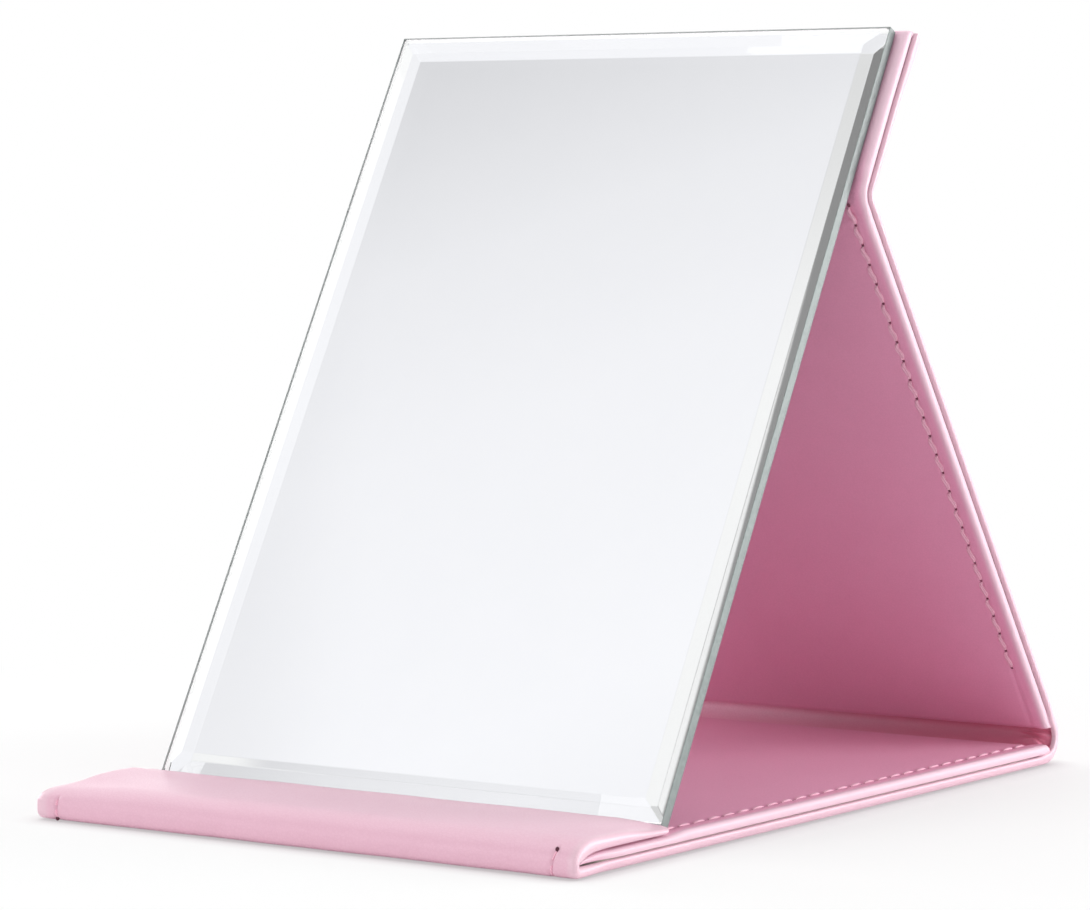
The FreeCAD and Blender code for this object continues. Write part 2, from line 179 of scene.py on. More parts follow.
# A material, or the world, with its nodes
class Finish:
    def __init__(self, name, world=False):
        self.owner = bpy.data.worlds.new(name) if world else bpy.data.materials.new(name)
        self.owner.use_nodes = True
        self.tree = self.owner.node_tree
        self.tree.nodes.clear()

    def add(self, kind, values=None, out=0, **settings):
        node = self.tree.nodes.new("ShaderNode" + kind)
        for name, value in settings.items():
            setattr(node, name, value)
        for socket, value in (values or {}).items():
            if isinstance(value, Wire):
                self.tree.links.new(value.socket, node.inputs[socket])
            else:
                colour = isinstance(value, tuple) and len(value) == 3
                node.inputs[socket].default_value = (*value, 1) if colour else value
        return Wire(self, node.outputs[out]) if node.outputs else None

    def mixColours(self, share, first, second):
        return self.add("Mix", {0: share, 6: first, 7: second}, 2, data_type="RGBA")

    def mixShaders(self, share, first, second):
        return self.add("MixShader", {0: share, 1: first, 2: second})

    def noise(self, scale, detail=3, roughness=0.5):
        return self.add("TexNoise", {"Vector": self.place(), "Scale": scale, "Detail": detail,
                                     "Roughness": roughness})

    def ramp(self, value, low, high, top=1, bottom=0, kind="SMOOTHSTEP"):
        return self.add("MapRange", {"Value": value, "From Min": low, "From Max": high, "To Min": bottom,
                                     "To Max": top}, interpolation_type=kind)

    def bump(self, height, strength, depth):
        return self.add("Bump", {"Height": height, "Strength": strength, "Distance": depth})

    def place(self):
        return self.add("TexCoord", out=3)

    def along(self, axis, place=None):
        return self.add("SeparateXYZ", {0: place or self.place()}, out=axis)

    def outward(self):
        return self.add("Math", {0: self.along(0)}, operation="ABSOLUTE")

    def paint(self, tone, roughness, more):
        values = {"Base Color": tone, "Roughness": roughness, **more}
        return self.close(self.add("BsdfPrincipled", values))

    def close(self, shader):
        self.add("OutputMaterial", {"Surface": shader})
        return self.owner


def grey(level, cool=1):
    return level, level, level * cool


def leatherFinish(name, look):
    finish = Finish(name)
    pebbles = finish.add("TexVoronoi", {"Vector": finish.place(), "Scale": look["pebbles"]},
                         feature="DISTANCE_TO_EDGE")
    folds = finish.ramp(pebbles, 0, look["foldWidth"], kind="LINEAR")
    between = 1 - folds
    pores = finish.noise(look["pores"], 2)
    cloud = finish.noise(look["cloud"], 4, 0.6)
    height = folds * look["foldHeight"] + pores * look["poreHeight"] + cloud * look["cloudHeight"]
    tone = finish.mixColours(cloud, look["shade"], look["colour"])
    tone = finish.mixColours(between * look["foldTone"], tone, look["fold"])
    # Painted shade: each span darkens the tone towards the deep colour along x.
    for low, high, share in look["ends"]:
        tone = finish.mixColours(finish.ramp(finish.along(0), low, high, share), tone, look["deep"])
    # Painted highlights: the rolled edges (rim) and the sides of the standing cover's top (crown) are lightened in
    # the colour.
    rim = finish.ramp(finish.outward(), *look["rimSide"], look["rimShare"])
    tone = finish.mixColours(rim, tone, look["rim"])
    crown = finish.ramp(finish.along(2), *look["crownHighlightSpan"], look["crownHighlightShare"])
    tone = finish.mixColours(crown * finish.ramp(finish.outward(), *look["crownHighlightSide"]), tone, look["crown"])
    rough = cloud * look["cloudRoughness"] + between * look["foldRoughness"] + look["roughness"]
    return finish.paint(tone, rough, {
        "Normal": finish.bump(height, look["bump"], look["depth"]), "Specular IOR Level": look["specular"],
        "Coat Weight": look["coat"], "Coat Roughness": 0.3, "Sheen Weight": look["sheen"], "Sheen Roughness": 0.4})


# Painted highlights: the rim tone lightens the rolled edge at both sides, and the crown tone lightens the top of the
# standing cover beside it (metres).
leatherLook = {
    "colour": (0.8, 0.49, 0.6), "shade": (0.76, 0.44, 0.555), "fold": (0.68, 0.36, 0.47),
    "pebbles": 1150, "pores": 5200, "cloud": 55, "foldWidth": 0.18, "foldHeight": 0.55, "poreHeight": 0.25,
    "cloudHeight": 0.9, "bump": 0.35, "depth": 0.00012, "foldTone": 0.22, "roughness": 0.36, "cloudRoughness": 0.12,
    "foldRoughness": 0.08, "specular": 0.5, "coat": 0.22, "sheen": 0.05, "ends": [],
    "rim": (0.79, 0.58, 0.65), "rimShare": 0.5, "rimSide": (0.0712, 0.0732),
    "crown": (0.84, 0.59, 0.69), "crownHighlightShare": 0, "crownHighlightSpan": (0.14, 0.16), "crownHighlightSide": (0.0675, 0.0722),
}
liningLook = dict(
    leatherLook, colour=(0.91, 0.42, 0.6), shade=(0.86, 0.375, 0.555), fold=(0.74, 0.31, 0.47),
    pebbles=1350, bump=0.25, roughness=0.4, coat=0.06, rim=(0.79, 0.57, 0.655), rimShare=0.9, crownHighlightShare=0.9)
# The rear strip is lighter overall as painted light, and darkens towards the right and more at its creased end on
# the right as painted shade.
stripLook = dict(
    liningLook, colour=(0.98, 0.57, 0.71), shade=(0.95, 0.54, 0.68), deep=(0.64, 0.13, 0.23),
    ends=[(-0.045, 0.058, 0.72), (0.06, 0.068, 0.3)], rimShare=0, crownHighlightShare=0)


def threadFinish():
    finish = Finish("sewingThread")
    twist = finish.add("TexWave", {"Vector": finish.place(), "Scale": 900, "Distortion": 1.5, "Detail": 1},
                       wave_type="BANDS", bands_direction="DIAGONAL")
    tone = finish.mixColours(twist, (0.83, 0.4, 0.53), (0.94, 0.55, 0.68))
    return finish.paint(tone, 0.55, {"Normal": finish.bump(twist, 0.6, 0.0001), "Sheen Weight": 0.2})


def grainFinish(name, grain, dull, pale, roughness=None, smear=None, bump=None, more=None):
    # Two tones mixed by one noise; a smear makes the roughness follow that noise.
    finish = Finish(name)
    pattern = finish.noise(*grain)
    values = dict(more or {})
    if bump:
        values["Normal"] = finish.bump(pattern, *bump)
    return finish.paint(finish.mixColours(pattern, dull, pale), pattern * smear if smear else roughness, values)


grindGrain = (420, 4, 0.65)


def groundEdgeFinish(name, dull, pale):
    finish = Finish(name)
    chips = finish.add("TexVoronoi", {"Vector": finish.place(), "Scale": 750})
    grind = finish.noise(*grindGrain)
    bump = finish.bump(chips * 0.6 + grind, 0.5, 0.00015)
    tone = finish.mixColours(grind, dull, pale)
    return finish.paint(tone, grind * 0.25 + 0.3, {"Normal": bump, "Specular IOR Level": 0.6})


def frostedFinish():
    # Light comes in through the ground walls, which look pale from inside the glass.
    finish = Finish("frostedEdge")
    tone = finish.mixColours(finish.noise(*grindGrain), grey(0.84), grey(0.96))
    matte = finish.add("BsdfDiffuse", {"Color": tone})
    through = finish.add("BsdfTranslucent", {"Color": tone})
    return finish.close(finish.mixShaders(0.7, matte, through))


pinkLeather = leatherFinish("pinkLeather", leatherLook)
pinkLining = leatherFinish("pinkLining", liningLook)
pleatedLiningPaintedLightShade = leatherFinish("pleatedLiningPaintedLightShade", stripLook)
sewingThread = threadFinish()
# Needle holes are dark spheres sunk into the leather: their colour is painted shade for the inside of the holes.
needleHoleShade = grainFinish("needleHoleShade", (1800,), (0.055, 0.012, 0.022), (0.13, 0.035, 0.06), 0.85)
stitchHoleShade = grainFinish("stitchHoleShade", (1800,), (0.16, 0.042, 0.072), (0.3, 0.095, 0.145), 0.85)
greyBoard = grainFinish("greyBoard", (900, 5, 0.7), (0.33, 0.3, 0.26), (0.52, 0.48, 0.43), 0.9,
                        bump=(0.4, 0.0002))
foamTape = grainFinish("foamTape", (2500, 2), (0.74, 0.74, 0.71), (0.86, 0.86, 0.83), 0.7,
                       bump=(0.3, 0.0001))
polishedGlass = grainFinish("polishedGlass", (70, 4, 0.6), (0.985, 0.992, 0.99), (0.995, 0.998, 0.997),
                            smear=0.006, more={"IOR": 1.5, "Transmission Weight": 1})
# One ground finish in two copies: the paler far copy is painted light for the far walls and chamfers.
groundEdge = groundEdgeFinish("groundGlassEdge", (0.095, 0.125, 0.12), (0.27, 0.315, 0.305))
farEdgePaintedLight = groundEdgeFinish("farGlassEdgePaintedLight", (0.2, 0.23, 0.23), (0.42, 0.46, 0.45))
frostedEdge = frostedFinish()
# The painted border outside the silver glows by emission: painted light standing in for the light that the ground
# walls scatter.
paleRimPaintedGlow = grainFinish("paleRimPaintedGlow", (300, 3), grey(0.88), grey(0.94), 0.6,
                      more={"Emission Color": grey(1), "Emission Strength": 0.5})
silverCoat = grainFinish("silverCoat", (60, 4, 0.6), (0.945, 0.95, 0.955), (0.965, 0.968, 0.97),
                         smear=0.01, more={"Metallic": 1})
backingPaint = grainFinish("backingPaint", (380, 4, 0.6), (0.17, 0.175, 0.185), (0.24, 0.245, 0.26), 0.6,
                           bump=(0.3, 0.0001))
print("finishes ready")


def setMode(mode):
    bpy.ops.object.mode_set(mode=mode)


def deselectAll():
    if bpy.context.object and bpy.context.object.mode != "OBJECT":
        setMode("OBJECT")
    bpy.ops.object.select_all(action="DESELECT")


def nameActive(name, *materials):
    piece = bpy.context.object
    piece.name = name
    piece.data.name = name
    for material in materials:
        piece.data.materials.append(material)
    return piece


def applyPlace():
    bpy.ops.object.transform_apply(location=True, rotation=True, scale=True)


def block(name, size, centre, *materials):
    deselectAll()
    bpy.ops.mesh.primitive_cube_add(size=1)
    piece = nameActive(name, *materials)
    piece.scale = size
    piece.location = centre
    applyPlace()
    return piece


def pickParts(piece, kind, test):
    # Leaves the active piece in edit mode, with the edges or faces selected that pass the test.
    setMode("EDIT")
    bpy.ops.mesh.select_all(action="DESELECT")
    setMode("OBJECT")
    for part in piece.data.edges if kind == "EDGE" else piece.data.polygons:
        part.select = test(part)
    setMode("EDIT")
    bpy.ops.mesh.select_mode(type=kind)


def edgeRun(piece, edge):
    first, last = (piece.data.vertices[index].co for index in edge.vertices)
    return last - first


def turnOutward():
    setMode("EDIT")
    bpy.ops.mesh.select_all(action="SELECT")
    bpy.ops.mesh.normals_make_consistent(inside=False)
    setMode("OBJECT")


def dress(piece, body, node):
    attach(piece, body)
    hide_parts(node)


def dressSoft(piece, ends, node):
    # A soft piece is baked where it stands and its CAD part hidden; its ends, as (y, z), are turned into metres but
    # not used.
    metres(*ends[0])
    metres(*ends[1])
    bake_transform(piece)
    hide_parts(node)


def wrapSheet(name, rings, material):
    # A flat grid is wrapped round its board: one row of the grid for each ring of the section.
    deselectAll()
    rings = [[*ring] for ring in rings]
    bpy.ops.mesh.primitive_grid_add(x_subdivisions=len(rings[0]), y_subdivisions=len(rings) - 1, size=1)
    sheet = nameActive(name, material)
    places = []
    for ring in rings:
        for x, y, z in [*ring, ring[0]]:
            places += metres(y, z, x)
    sheet.data.vertices.foreach_set("co", places)
    sheet.data.update()
    setMode("EDIT")
    bpy.ops.mesh.select_all(action="SELECT")
    bpy.ops.mesh.remove_doubles(threshold=1e-7)
    bpy.ops.mesh.select_all(action="SELECT")
    bpy.ops.mesh.fill_holes(sides=0)
    turnOutward()
    bpy.ops.object.shade_smooth_by_angle(angle=radians(50))
    return sheet


def seatOnMirror(piece):
    # Turns a piece drawn flat into the mirror panel's place and applies that to its mesh.
    deselectAll()
    piece.select_set(True)
    bpy.context.view_layer.objects.active = piece
    place = Matrix.Translation(metres(*topPlace(0, 0)))
    piece.matrix_world = place @ Matrix.Rotation(mirrorTurn, 4, "X")
    applyPlace()
    return piece


def joinPieces(pieces, name):
    deselectAll()
    for piece in pieces:
        piece.select_set(True)
    bpy.context.view_layer.objects.active = pieces[0]
    bpy.ops.object.join()
    return nameActive(name)


def arc(centre, radii, first, last, steps):
    turns = [radians(first + (last - first) * k / steps) for k in range(steps + 1)]
    return [(centre[0] + radii[0] * cos(t), centre[1] + radii[1] * sin(t)) for t in turns]


columns = {"step": 6, "margin": 0.4, "clear": 2.4, "seam": (0, 0.15, 0.35, 0.6, 0.9, 1.4, 2.2)}


def faceColumns():
    # Even columns across a face, and closer ones along the seam
    reach = half - roll - columns["margin"]
    even = [k * columns["step"] for k in range(int(reach / columns["step"]) + 1)]
    xs = [x for x in even if abs(x - seamLine) > columns["clear"]] + [reach]
    for offset in columns["seam"]:
        xs += (seamLine - offset, seamLine + offset)
    right = sorted({round(x, 3) for x in xs if 0 <= x <= reach})
    return [-x for x in reversed(right) if x > 0] + right


faceXs = faceColumns()
innerXs = [60, 30, 0, -30, -60]


def closeLoop(faceLevel, side, innerLevel):
    # Full section: the face from left to right, the right side, the inner face back, the left side.
    left = [(-x, w) for x, w in reversed(side)]
    return [(x, faceLevel) for x in faceXs] + side + [(x, innerLevel) for x in innerXs] + left


# Past its roll, the edge of a sheet turns in along these points and tucks behind itself.
rimXs = (73.96, 73.85, 73.66, 73.2, 72.9, 72.85, 72.85, 72.75)
leatherRim = (2.02, 2.2, 2.31, 2.37, rimTop, 1.9, 1.25, 1)
leatherSide = arc((half - roll, roll), (roll, roll), -90, 0, 7)[1:] + [*zip(rimXs, leatherRim)]
leatherSection = closeLoop(0, leatherSide, 1)
liningRoll = 1.15
liningRim = (2.94, 2.76, 2.66, 2.61, rimFoot, 3.1, 3.75, 4)
liningSide = arc((half - liningRoll, panelTop - liningRoll), (liningRoll, liningRoll), 90, 0, 7)[1:]
liningSection = closeLoop(panelTop, liningSide + [*zip(rimXs, liningRim)], 4)
# A point of a section is on its outer face below the first level, on its lining face above the second.
outerFace, liningFace = 0.05, 4.9


def rollSection(height, reach, tail):
    # Leather sheet whose side is one round roll of the given height; the tail tucks the edge in again.
    side = arc((half - reach, height / 2), (reach, height / 2), -90, 90, 11)[1:]
    return closeLoop(0, side + tail, 0.98)


def noseSection(height):
    tail = [(72.75, height - 0.15), (72.7, 0.7 * height), (72.7, 0.5 * height), (72.6, 1.1)]
    return rollSection(height, 1.1, tail)


flapSection = rollSection(3.12, 1.56, [(71.8, 2.9), (71.5, 2.5), (71.6, 1.97), (72.93, 1.85)])


def tuckIn(x, amount):
    return x - copysign(amount * effect(cover["tuck"], x=abs(x)), x)


def endDrop(distance, radius):
    # How far a rolled end has fallen at this distance from its tip
    if distance >= radius:
        return 0
    return radius - sqrt(max(0, radius ** 2 - (radius - distance) ** 2))


# Rows of needle holes along the sides of the panels
baseRow = {"first": 8, "last": 203, "pitch": 6.08, "radius": 0.34, "sway": 0.12, "gap": 1.8,
           "level": panelTop, "place": basePlace}
backRow = {"first": 19.82, "last": 159.2, "pitch": 5.56, "radius": 0.45, "sway": 0.36, "gap": 0.8,
           "level": panelTop, "place": backPlace}
flapRow = {"first": 10.5, "last": 29.5, "pitch": 6.08, "radius": 0.34, "sway": 0.1, "gap": 1.8,
           "level": 2.78, "place": flapPlace}
for row in (baseRow, backRow, flapRow):
    count = int((row["last"] - row["first"]) / row["pitch"])
    row["holes"] = [row["first"] + k * row["pitch"] for k in range(count + 1)]
seamStep = baseRow["pitch"] / 6
pull = {"reach": 3, "depth": 0.38, "width": 0.6, "length": 0.7}


def seamDip(x, u, row):
    # Depth of the lining under a seam: a soft channel and a pull at each needle hole
    offset = abs(abs(x) - seamLine)
    if offset > pull["reach"]:
        return 0
    dip = cover["channelDepth"] * exp(-(offset / cover["channelWidth"]) ** 2)
    nearest = min(abs(u - hole) for hole in row["holes"])
    return dip + pull["depth"] * exp(-(offset / pull["width"]) ** 2 - (nearest / pull["length"]) ** 2)


# Linings are turned over all edges and carry the seam's channel.
rolledEnd = (0, 0.12, 0.35, 0.7, 1.15)
liningRipple = (1.7, 21, 0.06)


def panelStations(first, last, step):
    inside = spaced(first + roll, last - roll, step)
    return [first + d for d in rolledEnd] + inside + [last - d for d in reversed(rolledEnd)]


def liningRing(u, row, ends, inset, rearRoll=roll):
    drop = endDrop(u - ends[0], roll) + endDrop(ends[1] - u, rearRoll)
    kept = 1 - drop / (panelTop - rimFoot)
    for x, w in liningSection:
        level = rimFoot + (w - rimFoot) * kept
        if w > liningFace:
            level += ripple(x, u, *liningRipple) - seamDip(x, u, row) * kept
        yield tuckIn(x, inset), *row["place"](u, level)


baseEdge = {
    "ends": (2.1, baseLength - 4.2), "rearRoll": 1, "inset": 0.3, "noseInset": (1, ("u", 17, 7)),
    "press": (0.22, ("u", 44, 35)), "noseStart": 12, "noseRadius": 10.4, "noseKept": 0.78,
    "side": (1, ("x", 68, 72.4)), "rear": (3.6, ("x", 66.5, 72), ("u", 192, 203)),
}


def baseLiningRing(u):
    # Under the flap the rolled sides are pressed down, towards the nose they run out behind its roll,
    # and at the rear they reach further back than the flat face.
    press = effect(baseEdge["press"], u=u)
    if u < baseEdge["noseStart"]:
        share = (baseEdge["noseStart"] - u) / baseEdge["noseRadius"]
        press = 1 - baseEdge["noseKept"] * sqrt(max(0, 1 - share ** 2))
    inset = baseEdge["inset"] + effect(baseEdge["noseInset"], u=u)
    for x, y, z in liningRing(u, baseRow, baseEdge["ends"], inset, baseEdge["rearRoll"]):
        lower = press * effect(baseEdge["side"], x=abs(x)) * max(0, z - rimFoot)
        yield x, y + effect(baseEdge["rear"], x=abs(x), u=u), z - lower


baseStations = panelStations(*baseEdge["ends"], seamStep)
baseLining = wrapSheet("baseLining", [baseLiningRing(u) for u in baseStations], pinkLining)
dress(baseLining, "base", "base_lining")
print("base lining wrapped")

# The crease is a bend of the whole panel about a line on the leather side.
bend = {"radius": 3.5, "run": 7, "steps": 22, "seam": (1, ("share", 0.42, 0.12)),
        "pinch": (0.24, ("share", 0, 0.36), ("share", 1, 0.64))}
bendTangent = bend["radius"] * tan(creaseTurn / 2)
bendNormal = (backTurn + mirrorTurn) / 2 + pi / 2
bendDepth = bend["radius"] / cos(creaseTurn / 2)
bendCentre = (creaseLine[0] - bendDepth * cos(bendNormal), creaseLine[1] - bendDepth * sin(bendNormal))
bendStraight = bend["run"] - bendTangent
bendLength = 2 * bendStraight + bend["radius"] * creaseTurn
backEnd = backLength - bend["run"]


def creasePlace(share, w):
    # Share 0 is the back panel's end of the soft stretch, 1 is the top strip's end.
    run = share * bendLength
    up = (w - halfPanel) * (1 - effect(bend["pinch"], share=share))
    if run <= bendStraight:
        return backPlace(backEnd + run, halfPanel + up)
    if run >= bendLength - bendStraight:
        return topPlace(run - (bendLength - bendStraight) + bendTangent, halfPanel + up)
    angle = backTurn + pi / 2 - (run - bendStraight) / bend["radius"]
    radius = bend["radius"] + up
    return bendCentre[0] + radius * cos(angle), bendCentre[1] + radius * sin(angle)


backFoot = -0.5
backStations = [u for u in panelStations(backFoot, backEnd + roll, seamStep) if u < backEnd - 0.05] + [backEnd]
backLining = wrapSheet("backLining", [
    liningRing(u, backRow, (backFoot, inf), backInset) for u in backStations], pinkLining)
dress(backLining, "back_panel", "back_lining")


def creaseRing(section, share, lining):
    u = backEnd + share * bendLength
    fade = effect(bend["seam"], share=share)
    for x, w in section:
        level = w
        if w > liningFace:
            level += (ripple(x, u, *liningRipple) - seamDip(x, u, backRow)) * fade
        yield tuckIn(x, backInset) if lining else x, *creasePlace(share, level)


creaseShares = spaced(0, 1, 1 / bend["steps"])
creaseLining = wrapSheet("creaseLining", [creaseRing(liningSection, s, True) for s in creaseShares], pinkLining)
creaseLeather = wrapSheet("creaseLeather", [creaseRing(leatherSection, s, False) for s in creaseShares], pinkLeather)
creaseEnds = (creasePlace(0.3, halfPanel), creasePlace(0.7, halfPanel))
dressSoft(creaseLining, creaseEnds, "crease_lining")
dressSoft(creaseLeather, creaseEnds, "crease_leather")

flare = {"side": (1, ("x", 66, 74), ("u", topLength - 22, topLength)), "lining": 0.2, "leather": 0.3,
         "droop": (0.75, ("w", 2.2, 0.6))}
topStations = spaced(bend["run"], topLength - roll, 3) + [topLength - d for d in reversed(rolledEnd)]


def topRing(section, u, lining):
    # The strip ends in a rolled edge, and its leather flares a little at the top corners.
    kept = 1 - endDrop(topLength - u, roll) / rimTop
    foot = rimFoot if lining else rimTop
    for x, w in section:
        level = foot + (w - foot) * kept
        side = effect(flare["side"], x=abs(x), u=u)
        edge = tuckIn(x, backInset) if lining else x
        if not lining:
            level -= side * effect(flare["droop"], w=w)
        spread = flare["lining" if lining else "leather"] * side
        yield edge + copysign(spread, x), *topPlace(u, level)


topLining = wrapSheet("topLining", [topRing(liningSection, u, True) for u in topStations], pinkLining)
topLeather = wrapSheet("topLeather", [topRing(leatherSection, u, False) for u in topStations], pinkLeather)
dress(topLining, "mirror_panel", "top_lining")
dress(topLeather, "mirror_panel", "top_leather")
print("back lining, crease and top strip wrapped")


def leatherRing(u, place, puff):
    for x, w in leatherSection:
        level = w - (ripple(x, u, 8.3, 24, puff) if w < outerFace else 0)
        yield x, *place(u, level)


baseSheet = [leatherRing(u, basePlace, 0) for u in spaced(noseRun, baseLength - spineRun, 5)]
baseLeather = wrapSheet("baseLeather", baseSheet, pinkLeather)
dress(baseLeather, "base", "base_leather")

backSheet = [leatherRing(u, backPlace, 0.07 * smooth(spineRun, 20, u) * smooth(backEnd, 140, u))
             for u in spaced(spineRun, backEnd, 4)]
backLeather = wrapSheet("backLeather", backSheet, pinkLeather)
dress(backLeather, "back_panel", "back_leather")

# The nose runs from the base's underside, up the front and back over the flap.
flapJoin = flapHinge[0] + noseRun
nose = {
    "front": cadBox[0].y / mm, "top": flapHinge[1] + halfSkin, "footRadius": 2.1, "topRadius": 4.9, "topRun": 8.5,
    "height": 2.4, "swell": (1.05, ("turn", 185, 112)), "flatten": (0.33, ("y", flapHinge[0] + 3, flapJoin)),
    "split": 3.6, "ripple": (17, 0.16), "pinchWidth": 0.32, "thread": 0.27, "threadDepth": 0.26,
    "pinch": (0.6, ("z", 6.8, 5.7), ("y", frontHinge[0] + 4, frontHinge[0] + 1)), "hole": (0.42, 0.5, 0.55),
}
noseFront, noseTop = nose["front"], nose["top"]
pinches = [{"x": 68, "lean": 0.33, "hole": 5.8}, {"x": -69.3, "lean": 0.1, "hole": 0.45}]


def nosePath():
    # Outer face of the nose as (y, z, outward angle) from the base to the flap
    radius, topRadius, topRun = nose["footRadius"], nose["topRadius"], nose["topRun"]
    foot = (noseFront + radius, radius)
    crown = (noseFront + topRun, noseTop - topRadius)
    path = [(y, 0, -90) for y in spaced(frontHinge[0] + noseRun, foot[0] + 0.2, -1.2)]
    for k in range(8):
        turn = radians(-90 - 90 * k / 7)
        path.append((foot[0] + radius * cos(turn), foot[1] + radius * sin(turn), degrees(turn)))
    path += [(noseFront, z, -180) for z in spaced(foot[1], crown[1], 0.5)[1:-1]]
    for k in range(19):
        turn = radians(180 - 90 * k / 18)
        outward = atan2(sin(turn) / topRadius, cos(turn) / topRun)
        path.append((crown[0] + topRun * cos(turn), crown[1] + topRadius * sin(turn), degrees(outward)))
    return path + [(y, noseTop, 90) for y in spaced(crown[0], flapJoin, 1.2)[1:]]


sag = {
    "seat": 5, "thin": (0.17, ("y", -95, -76)), "press": (0.38, ("x", 60, 74), ("y", -88, -73)),
    "swell": (0.95, ("x", -56, -74), ("y", -95, -80), ("y", -72, -76)),
    "sink": (1.1, ("x", -50, -74), ("y", -88, -101), ("z", 1.5, 7.5)),
    "corner": (1.8, ("x", -68, -74), ("y", -92, -103)),
    "blunt": (1.9, ("x", -60, -74), ("y", -94, -101), ("z", 3, 6)),
}


def droop(x, y, z):
    # The flap thins towards its free edge and is pressed down at the right. Its left end swells at the rear,
    # and sinks and rounds off towards the front.
    above = z - sag["seat"]
    if above > 0:
        z = sag["seat"] + above * (1 - effect(sag["thin"], y=y)) * (1 - effect(sag["press"], x=x, y=y))
        z += effect(sag["swell"], x=x, y=y)
    z -= effect(sag["sink"], x=x, y=y, z=z)
    return x - effect(sag["corner"], x=x, y=y), y - effect(sag["blunt"], x=x, y=y, z=z), z


def pinchLine(pinch, z):
    return pinch["x"] + pinch["lean"] * (z - 3) / 2


def underNose(x, y, z, outward, depth):
    turn = radians(outward)
    return droop(x, y - depth * cos(turn), z - depth * sin(turn))


def noseRing(section, y, z, outward):
    drawn = effect(nose["pinch"], y=y, z=z)
    for x, w in section:
        depth = w
        if w < outerFace:
            depth -= ripple(x, y, z, *nose["ripple"])
            for pinch in pinches:
                offset = (x - pinchLine(pinch, z)) / nose["pinchWidth"]
                depth += drawn * exp(-offset ** 2)
        yield underNose(x, y, z, outward, depth)


noseStations = nosePath()
noseFull = []
for y, z, outward in noseStations:
    turn = outward % 360
    height = nose["height"] + effect(nose["swell"], turn=turn)
    if turn < 120:
        height -= effect(nose["flatten"], y=y)
    section = noseSection(height)
    if z < 0.01:
        section = blendPairs(leatherSection, section, smooth(frontHinge[0] + noseRun, frontHinge[0] + 3, y))
    elif turn < 135:
        section = blendPairs(section, flapSection, smooth(noseFront + 3, flapJoin, y))
    noseFull.append([*noseRing(section, y, z, outward)])
noseSplit = next(k for k, (y, z, outward) in enumerate(noseStations) if z > nose["split"])


def creaseThreads(stations, name):
    # A thread that lies in the pinched line at each end of the nose
    threads = []
    for pinch in pinches:
        rings = []
        for y, z, outward in stations:
            round8 = arc((pinchLine(pinch, z), -nose["threadDepth"]), (nose["thread"], nose["thread"]), 0, 315, 7)
            rings.append([underNose(x, y, z, outward, -up) for x, up in round8])
        threads.append(wrapSheet(name, rings, sewingThread))
    return threads


def creaseHole(pinch):
    # The needle hole at one end of a pinched line, a dark sphere painted as the shade inside it
    y, z, outward = next(station for station in noseStations if station[1] > pinch["hole"])
    deselectAll()
    bpy.ops.mesh.primitive_uv_sphere_add(segments=10, ring_count=6, radius=1)
    hole = nameActive("creaseHole", needleHoleShade)
    centre = droop(pinchLine(pinch, z), y, z)
    for vertex in hole.data.vertices:
        vertex.co = Vector([(c + r * s) * mm for c, r, s in zip(centre, vertex.co, nose["hole"])])
    return hole


lowerThread = [row for row in noseStations[:noseSplit + 1] if row[2] < -95]
upperThread = [row for row in noseStations[noseSplit:] if row[1] < 5.9]
noseLower = joinPieces([wrapSheet("noseLowerLeather", noseFull[:noseSplit + 1], pinkLeather),
                        *creaseThreads(lowerThread, "lowerThread"), creaseHole(pinches[1])], "noseLowerLeather")
noseUpper = joinPieces([wrapSheet("noseUpperLeather", noseFull[noseSplit:], pinkLeather),
                        *creaseThreads(upperThread, "upperThread"), creaseHole(pinches[0])], "noseUpperLeather")
dressSoft(noseLower, ((noseFront + 2.4, 0), (noseFront, 3.4)),
          "front_spine_leather")
dressSoft(noseUpper, ((noseFront, 4), (flapHinge[0] + 1.5, noseTop)),
          "front_spine_leather")

flapEdge = {"roll": cover["flapThickness"] / 2, "radius": 2.4, "corner": (1, ("x", 60, 72)),
            "tip": (1.8, 1.3, 0.9, 0.55, 0.28, 0.1, 0)}
flapStations = spaced(noseRun, flapLength - 2.4, 2.2) + [flapLength - d for d in flapEdge["tip"]]


def flapRing(u):
    middle = flapEdge["roll"]
    kept = 1 - endDrop(flapLength - u, middle) / middle
    corner = endDrop(flapLength - u, flapEdge["radius"])
    for x, w in flapSection:
        y, z = flapPlace(u, middle + (w - middle) * kept)
        if w < outerFace:
            z += ripple(x, y, z, *nose["ripple"])
        cut = corner * effect(flapEdge["corner"], x=abs(x))
        yield droop(x - copysign(cut, x), y, z)


flapLeather = wrapSheet("flapLeather", [flapRing(u) for u in flapStations], pinkLeather)
dress(flapLeather, "flap", "flap_leather")

# Rear spine: the leather leaves the base, bulges out and joins the back panel.
spine = {"bulge": 3, "fullness": 1.32, "full": (1, ("share", 0, 0.16), ("share", 1, 0.84)),
         "loose": (1, ("share", 0, 0.2), ("share", 1, 0.8)), "pleat": (0.25, ("x", 64, 74)),
         "pleatTurns": 19}
bulge = spine["bulge"]
spineSection = [(x, w * spine["fullness"]) for x, w in leatherSection]
spineChord = dist(rearHinge, backHinge)
spineRadius = (spineChord ** 2 / 4 + bulge ** 2) / (2 * bulge)
spineHalf = 2 * atan2(2 * bulge, spineChord)
spineNormal = rearLean - pi / 2
spineCentre = ((rearHinge[0] + backHinge[0]) / 2 - (spineRadius - bulge) * cos(spineNormal),
               (rearHinge[1] + backHinge[1]) / 2 - (spineRadius - bulge) * sin(spineNormal))


